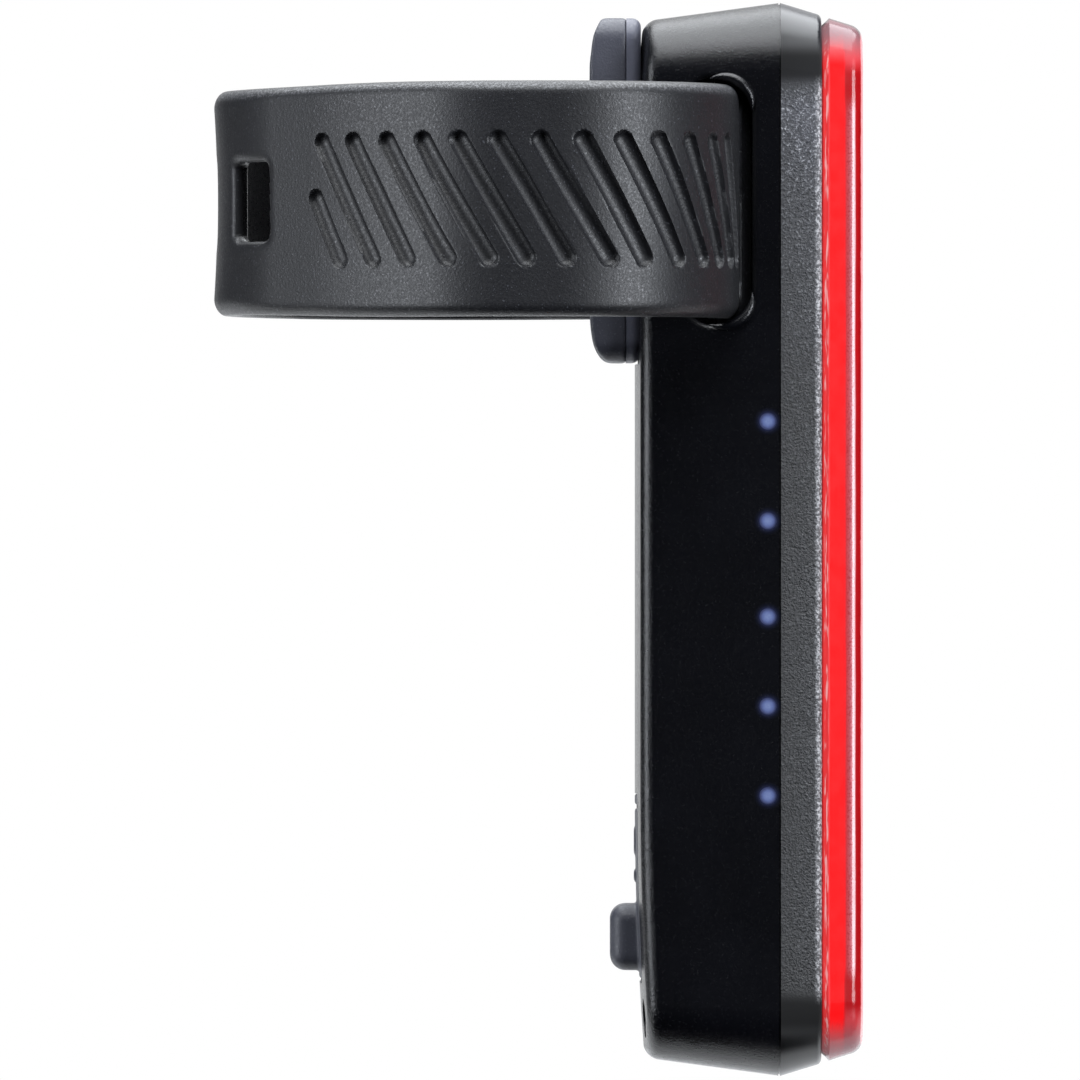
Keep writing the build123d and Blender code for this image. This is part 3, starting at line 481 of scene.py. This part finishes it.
class Path:
    """Straight runs and tangent arcs seen from above, walked by arc length."""

    def __init__(self, p, ang):
        self.p, self.ang, self.segs, self.length = p, ang, [], 0.0

    def run(self, length):
        self.segs.append((self.length, length, self.p, self.ang, 0.0))
        self.p = (self.p[0] + length * cos(radians(self.ang)), self.p[1] + length * sin(radians(self.ang)))
        self.length += length

    def bend(self, new, r):
        turn = radians(new - self.ang)
        length = abs(turn) * r
        k = turn / length
        self.segs.append((self.length, length, self.p, self.ang, k))
        a0 = radians(self.ang)
        self.p = (self.p[0] + (sin(a0 + turn) - sin(a0)) / k, self.p[1] - (cos(a0 + turn) - cos(a0)) / k)
        self.ang = new
        self.length += length

    def at(self, s):
        s = np.asarray(s, float)
        x, y, h = np.zeros_like(s), np.zeros_like(s), np.zeros_like(s)
        for i, (s0, ln, p, ang, k) in enumerate(self.segs):
            first, last = i == 0, i == len(self.segs) - 1
            pick = ((s >= s0) | first) & ((s < s0 + ln) | last)
            u = s[pick] - s0
            a = radians(ang)
            if k == 0:
                x[pick], y[pick], h[pick] = p[0] + u * cos(a), p[1] + u * sin(a), a
            else:
                x[pick] = p[0] + (np.sin(a + k * u) - sin(a)) / k
                y[pick] = p[1] - (np.cos(a + k * u) - cos(a)) / k
                h[pick] = a + k * u
        return x, y, h


# near side, worked out from the 45 degree point towards the pocket on the +Y side, then mirrored
near = Path(P45, 45.0)
near.run(4.5); near.bend(32, 55.0); near.bend(0, 14.7); near.run(2.6); near.bend(-45, 13.2); near.bend(-84, 17.5)
L_STRAIGHT = near.length
near.bend(-104, 4.7)
pin_s_from_45 = near.length
near.run(1.93)
L_NEAR = near.length
far = Path(P45, 45.0)
far.bend(0, 22.0); far.bend(-30, 15.0); far.run(1.6); far.bend(0, 13.0); far.run(10.6)
L_FAR = far.length
L_APEX = R_MID * pi / 2
S_APEX = L_NEAR + L_APEX / 2
S_END = L_NEAR + L_APEX + L_FAR
S_PIN = L_NEAR - pin_s_from_45


def strap_line(s):
    """Mid line and outward normal of the whole strap, from the pocket round the post to the pull tab."""
    s = np.asarray(s, float)
    x, y, h = np.zeros_like(s), np.zeros_like(s), np.zeros_like(s)
    a = s < L_NEAR
    xn, yn, hn = near.at(L_NEAR - s[a])
    x[a], y[a], h[a] = xn, -yn, pi - hn          # walked backwards and mirrored
    b = (s >= L_NEAR) & (s < L_NEAR + L_APEX)
    th = -pi / 4 + (s[b] - L_NEAR) / R_MID
    x[b], y[b], h[b] = -R_MID * np.cos(th), R_MID * np.sin(th), pi / 2 - th
    c = s >= L_NEAR + L_APEX
    x[c], y[c], h[c] = far.at(s[c] - L_NEAR - L_APEX)
    return x, y, -np.sin(h), np.cos(h)


def smooth01(t):
    t = np.clip(t, 0, 1)
    return t * t * (3 - 2 * t)


# where a pixel column of the photograph meets the strap's outer face on the near side
_s = np.linspace(S_PIN + 3, S_APEX, 4000)
_x, _y, _nx, _ny = strap_line(_s)
_ox, _oy = _x + T * _nx, _y + T * _ny
_px = 540 + (_ox - CX) * PXMM * CAM_D / (CAM_D + _oy)


def s_of_px(px):
    return float(np.interp(-px, -_px[::1] if _px[0] > _px[-1] else _px, _s if _px[0] > _px[-1] else _s[::-1]))


def z_of_py(py, y_mm):
    return CZ + (540 - py) / (PXMM * CAM_D / (CAM_D + y_mm))


TOPS = [322, 353, 387, 423, 459, 498, 541, 584, 624, 660, 690, 713, 728]
BOTS = [372, 407, 447, 488, 526, 566, 609, 644, 678, 703, 720, 731, 738]
GROOVES = [(s_of_px(a), 4.80, s_of_px(b), -4.88) for a, b in zip(TOPS, BOTS)]
GROOVES.append((s_of_px(316), 0.14, s_of_px(339), -4.88))
SLOTS = [S_APEX + R_MID * radians(a) for a in (-33.7, 7.2)]
SLOTS.append(L_NEAR + L_APEX + 1.36)
for xs in (0.35, 12.2, 24.1):
    q = np.linspace(0, L_FAR, 3000)
    SLOTS.append(L_NEAR + L_APEX + float(q[np.argmin(np.abs(far.at(q)[0] - xs))]))
SLOT_L, SLOT_H, SLOT_R = 5.2, 6.7, 0.75


def slot_sdf(s, z):
    d = np.full(np.broadcast(s, z).shape, 1e3)
    for c in SLOTS:
        qx = np.abs(s - c) - (SLOT_L / 2 - SLOT_R)
        qz = np.abs(z) - (SLOT_H / 2 - SLOT_R)
        out = np.sqrt(np.maximum(qx, 0) ** 2 + np.maximum(qz, 0) ** 2) + np.minimum(np.maximum(qx, qz), 0) - SLOT_R
        d = np.minimum(d, out)
    return d


def half_height(s):
    h = 9.45 + 0.32 * smooth01((S_APEX - 6 - s) / 22.0) + 0.10 * smooth01((s - S_APEX) / 20)
    # pull tab: narrows and ends in a round tip
    u = s - (S_END - 11.0)
    h = h - 1.3 * smooth01(u / 7.0)
    r = 4.6
    v = np.clip(s - (S_END - r), 0, r)
    return h - (r - np.sqrt(np.maximum(r * r - v * v, 0)))


def build_strap():
    key = sorted({0.0, 0.04, 0.14, 0.3, 0.5, 0.75, 1.05, 1.4, 1.75, 2.1, 2.5, 2.9, 3.2, 3.45, 3.6, 3.75, 3.95, 4.3,
                  *[c - SLOT_L / 2 for c in SLOTS], *[c + SLOT_L / 2 for c in SLOTS],
                  S_END - 4.6, S_END - 0.75, S_END - 0.5, S_END - 0.3, S_END - 0.16, S_END - 0.07, S_END - 0.02, S_END})
    g0, g1 = min(g[0] for g in GROOVES) - 1.2, max(g[2] for g in GROOVES) + 1.2
    g0, g1 = min(g0, min(g[2] for g in GROOVES) - 1.2), max(g1, max(g[0] for g in GROOVES) + 1.2) + 4.0
    cols = []
    for a, b in zip(key[:-1], key[1:]):
        if b - a < 1e-4:
            continue
        mid = (a + b) / 2
        parts = [(a, b)]
        if a < g0 < b or a < g1 < b:
            cut = [c for c in (g0, g1) if a < c < b]
            pts = [a, *cut, b]
            parts = list(zip(pts[:-1], pts[1:]))
        for p, q in parts:
            m = (p + q) / 2
            step = 0.100 if g0 <= m <= g1 else 0.26
            n = max(1, int(round((q - p) / step)))
            cols += [p + (q - p) * i / n for i in range(n)]
    cols.append(S_END)
    cols = np.array(cols)
    edge = [0, 0.02, 0.06, 0.12, 0.20, 0.30, 0.42, 0.56, 0.72, 0.90]
    inner = 9.6 - 0.9
    rows = [inner - 0.24 * i for i in range(1, int((inner - 6.4) / 0.24))]
    n = int(round(2 * 6.4 / 0.115))
    vs = [-(9.6 - e) for e in edge] + [-r for r in rows] + [-6.4 + 12.8 * i / n for i in range(n + 1)] + list(reversed(rows)) + [9.6 - e for e in reversed(edge)]
    vs = np.array(vs) / 9.6
    S, V = np.meshgrid(cols, vs, indexing="ij")
    Z = V * half_height(S)
    # the columns lean with the grooves, measured where each groove's line crosses mid height
    slope = np.array([(g[0] - g[2]) / (g[1] - g[3]) for g in GROOVES])
    gm = np.array([g[2] + k * (0.05 - g[3]) for g, k in zip(GROOVES, slope)])
    order = np.argsort(gm)
    gm, gd = gm[order], slope[order] * 10.8
    lean = np.interp(S, gm, gd)
    lean = lean * smooth01((S - (gm[0] - 6.5)) / 5.0) * smooth01((gm[-1] + 9.0 - S) / 7.8)
    S = S + lean * np.clip(Z - 0.05, -6.6, 6.6) / 10.8
    Z = V * half_height(S)
    # cells inside a slot go, and the vertices round it are drawn to its outline
    sc, zc = (S[:-1, :-1] + S[1:, 1:]) / 2, (Z[:-1, :-1] + Z[1:, 1:]) / 2
    keep = slot_sdf(sc, zc) > 0
    used = np.zeros(S.shape, bool)
    gone = np.zeros(S.shape, bool)
    for di in (0, 1):
        for dj in (0, 1):
            used[di:di + keep.shape[0], dj:dj + keep.shape[1]] |= keep
            gone[di:di + keep.shape[0], dj:dj + keep.shape[1]] |= ~keep
    rim = used & gone
    for _ in range(3):
        d = slot_sdf(S, Z)
        e = 1e-3
        gx = (slot_sdf(S + e, Z) - slot_sdf(S - e, Z)) / (2 * e)
        gz = (slot_sdf(S, Z + e) - slot_sdf(S, Z - e)) / (2 * e)
        S = np.where(rim, S - d * gx, S)
        Z = np.where(rim, Z - d * gz, Z)
    x, y, nx, ny = (a.reshape(S.shape) for a in strap_line(S.ravel()))
    h = half_height(S)
    base = np.maximum(T, np.sqrt(np.maximum(1.93**2 - (S - S_PIN) ** 2, 0)))
    base = np.where(S < 0.001, 0.0, base)
    base = np.where(S > S_PIN + 1.93, T, base)
    base = np.where(S < S_PIN, np.sqrt(np.maximum(1.93**2 - (S - S_PIN) ** 2, 0)), base)
    tab = smooth01((S - (S_END - 7.0)) / 2.5)
    base = base + 0.22 * tab

    def round_off(t, d, r):
        r = np.minimum(r, t)
        d = np.clip(d, 0, r)
        return t - r + np.sqrt(np.maximum(r * r - (r - d) ** 2, 0))

    d_edge = h - np.abs(Z)
    d_tip = np.where(S > S_END - 4.6, S_END - S, 9.0)
    b_edge = 1.05 + 0.5 * smooth01(1.6 - np.abs(S - S_APEX) / 9.0) + 0.40 * smooth01((24.0 - S) / 14.0) * smooth01((S - 2.0) / 2.0)
    u = 1 - np.clip(np.minimum(d_edge, d_tip) / b_edge, 0, 1)
    fall = np.where(S < 3.0, 0.75 + 0.35 * smooth01((S - 1.0) / 2.0), 1.12)
    outer = base - np.minimum(fall, base + 0.3) * (1 - np.sqrt(np.maximum(1 - u * u, 0)))
    outer = np.where(base > 0.8, outer, np.minimum(outer, base))
    inner_h = round_off(base, np.minimum(d_edge, d_tip), 0.36)
    lip = np.clip(slot_sdf(S, Z), 0, 1)
    outer = np.minimum(outer, base - 0.46 * (1 - np.sqrt(np.maximum(1 - (1 - np.clip(lip / 0.95, 0, 1)) ** 2, 0))))
    inner_h = np.minimum(inner_h, round_off(base, lip, 0.16))
    # grooves on the near side's outer face
    depth = np.zeros_like(S)
    for s0, z0, s1, z1 in GROOVES:
        dx, dz = s1 - s0, z1 - z0
        L2 = dx * dx + dz * dz
        u = np.clip(((S - s0) * dx + (Z - z0) * dz) / L2, 0, 1)
        dist = np.sqrt((S - s0 - u * dx) ** 2 + (Z - z0 - u * dz) ** 2)
        q = np.clip(dist / 0.84, 0, 1)
        f = np.sqrt(1 - q * q) * smooth01((1.01 - q) / 0.14)
        depth = np.maximum(depth, 0.66 * f)
    # the band dishes a little round the apex
    dish = 0.30 * smooth01(1 - np.abs(S - (S_APEX - 2)) / 11.0) * np.clip(1 - (Z / 8.2) ** 2, 0, 1)
    ribs = 0.22 * tab * smooth01((S_END - 0.9 - S) / 0.4) * smooth01(0.5 + 0.9 * np.cos((S - S_END + 1.9) * 2 * pi / 1.35)) * smooth01((h - 1.6 - np.abs(Z)) / 0.8) * smooth01((slot_sdf(S, Z) - 0.9) / 0.5)
    out_off = outer - depth - dish + ribs
    in_off = -inner_h - 0.0 * dish
    vo = np.stack([(x + nx * out_off), (y + ny * out_off), Z], -1).reshape(-1, 3) * MM
    vi = np.stack([(x + nx * in_off), (y + ny * in_off), Z], -1).reshape(-1, 3) * MM
    verts = np.concatenate([vo, vi])
    N = S.size
    W = S.shape[1]
    faces = []
    I, J = np.nonzero(keep)
    a = I * W + J
    b, c, d = a + W, a + W + 1, a + 1
    faces += np.stack([a, b, c, d], 1).tolist()
    faces += (np.stack([a, d, c, b], 1) + N).tolist()
    # walls along every border between kept and missing cells
    pad = np.zeros((keep.shape[0] + 2, keep.shape[1] + 2), bool)
    pad[1:-1, 1:-1] = keep
    for di, dj, p, q in ((-1, 0, 3, 0), (1, 0, 1, 2), (0, -1, 0, 1), (0, 1, 2, 3)):
        nb = pad[1 + di:pad.shape[0] - 1 + di, 1 + dj:pad.shape[1] - 1 + dj]
        I, J = np.nonzero(keep & ~nb)
        a = I * W + J
        corner = [a, a + W, a + W + 1, a + 1]
        u, v = corner[p], corner[q]
        faces += np.stack([v, u, u + N, v + N], 1).tolist()
    return new_object("rubber_strap", verts, faces, M["rubber"], 50.0)


strap = build_strap()
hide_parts("strap_band", "strap_tail")
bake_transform(strap)


# ------------------------------------------------------------------ soft moulded pieces from their solids
def soften(node, name, mat, voxel, passes, body):
    src = nodes[node]
    me = src.data.copy()
    o = bpy.data.objects.new(name, me)
    scene.collection.objects.link(o)
    md = o.modifiers.new("grid", "REMESH")
    md.mode = "VOXEL"
    md.voxel_size = voxel
    md2 = o.modifiers.new("soft", "SMOOTH")
    md2.factor = 0.5
    md2.iterations = passes
    dg = bpy.context.evaluated_depsgraph_get()
    out = bpy.data.meshes.new_from_object(o.evaluated_get(dg))
    o.modifiers.clear()
    o.data = out
    for p in out.polygons:
        p.use_smooth = True
    out.materials.clear()
    out.materials.append(mat)
    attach(o, body)
    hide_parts(node)
    return o


def build_lip():
    """Low bead moulded round the pocket's outer corners, tapering to nothing at both ends."""
    verts, faces = [], []
    for sgn in (1, -1):
        n0 = len(verts)
        na, nb = 48, 14
        for i in range(na + 1):
            t = i / na
            ang = radians(-8 + 122 * t)
            w = sin(pi * t) ** 0.8
            rw, rh = 0.46 * w + 0.004, 0.52 * w + 0.004
            r = 2.56
            for j in range(nb):
                b = 2 * pi * j / nb
                rr = r + rw * cos(b)
                verts.append(((25.24 + rr * cos(ang)) * MM, (-11.74 - rh * sin(b)) * MM, (-0.02 + sgn * (7.90 + rr * sin(ang))) * MM))
        for i in range(na):
            for j in range(nb):
                a, c = n0 + i * nb + j, n0 + i * nb + (j + 1) % nb
                faces.append((a, c, c + nb, a + nb))
        faces.append(tuple(n0 + j for j in range(nb)))
        faces.append(tuple(n0 + na * nb + j for j in range(nb))[::-1])
    return new_object("pocket_lip", verts, faces, M["casing"], 60.0)


lip = build_lip()
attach(lip, "light_body")

saddle = soften("saddle_pad", "saddle_rubber", M["pad"], 0.00016, 6, "light_body")
cover = soften("port_cover", "port_cover_rubber", M["pad"], 0.00012, 4, "port_cover")
button = soften("power_button", "power_key_rubber", M["rubber"], 0.00012, 4, "power_button")
root = soften("port_cover_root", "port_cover_strip", M["pad"], 0.00010, 2, "light_body")

# ------------------------------------------------------------------ floor and light
floor_me = bpy.data.meshes.new("floor")
bm = bmesh.new()
bmesh.ops.create_circle(bm, cap_ends=True, segments=128, radius=0.60)
bm.to_mesh(floor_me)
bm.free()
floor = bpy.data.objects.new("floor", floor_me)
scene.collection.objects.link(floor)
floor.location = (0.01, 0.588, -0.125)
fm = Mat("floor_pale")
fn = fm.noise(6.0, 2.0, 0.4)
fm.set(Base_Color=fm.ramp(fn, [(0.3, (0.60, 0.60, 0.60)), (0.7, (0.64, 0.64, 0.64))]), Roughness=0.9)
floor_me.materials.append(fm.m)


def area(name, loc, target, sx, sy, power, color=(1, 1, 1)):
    d = bpy.data.lights.new(name, "AREA")
    d.shape = "RECTANGLE"
    d.size, d.size_y = sx, sy
    d.energy = power
    d.color = color
    o = bpy.data.objects.new(name, d)
    scene.collection.objects.link(o)
    from mathutils import Vector
    v = Vector(target) - Vector(loc)
    o.location = loc
    o.rotation_euler = v.to_track_quat("-Z", "Y").to_euler()
    o.visible_camera = False
    return o


tgt = (0.01, 0.0, -0.028)


def panel(name, loc, sx, sy, radiance, color=(1, 1, 1), at=tgt):
    return area(name, loc, at, sx, sy, radiance * pi * sx * sy, color)


cool = (0.90, 0.94, 1.0)
panel("backdrop", (0.01, 1.10, 0.05), 0.90, 2.4, 1.05, (0.97, 0.985, 1.0))
panel("overhead", (0.01, 0.10, 0.62), 0.95, 0.85, 6.6, (0.94, 0.97, 1.0))
panel("overhead front", (0.01, -0.44, 0.60), 0.80, 0.26, 8.0, (0.94, 0.97, 1.0))
panel("left strip", (-0.60, -0.26, 0.03), 0.20, 0.34, 13.5, cool)
panel("right strip", (0.52, -0.40, 0.03), 0.17, 0.30, 24.0, cool)
panel("right fill", (0.36, -0.62, 0.03), 0.16, 0.26, 1.3, cool)

world = bpy.data.worlds.new("studio")
scene.world = world
world.use_nodes = True
wt = world.node_tree
bg = wt.nodes["Background"]
lp = wt.nodes.new("ShaderNodeLightPath")
mx = wt.nodes.new("ShaderNodeMix")
mx.data_type = "RGBA"
mx.inputs[6].default_value = (0.0025, 0.0025, 0.0032, 1)
mx.inputs[7].default_value = (1.0, 1.0, 1.0, 1)
wt.links.new(lp.outputs["Is Camera Ray"], mx.inputs["Factor"])
wt.links.new(mx.outputs[2], bg.inputs["Color"])
bg.inputs["Strength"].default_value = 1.0
scene.view_settings.view_transform = "Standard"
scene.view_settings.look = "None"
scene.view_settings.exposure = 0.0
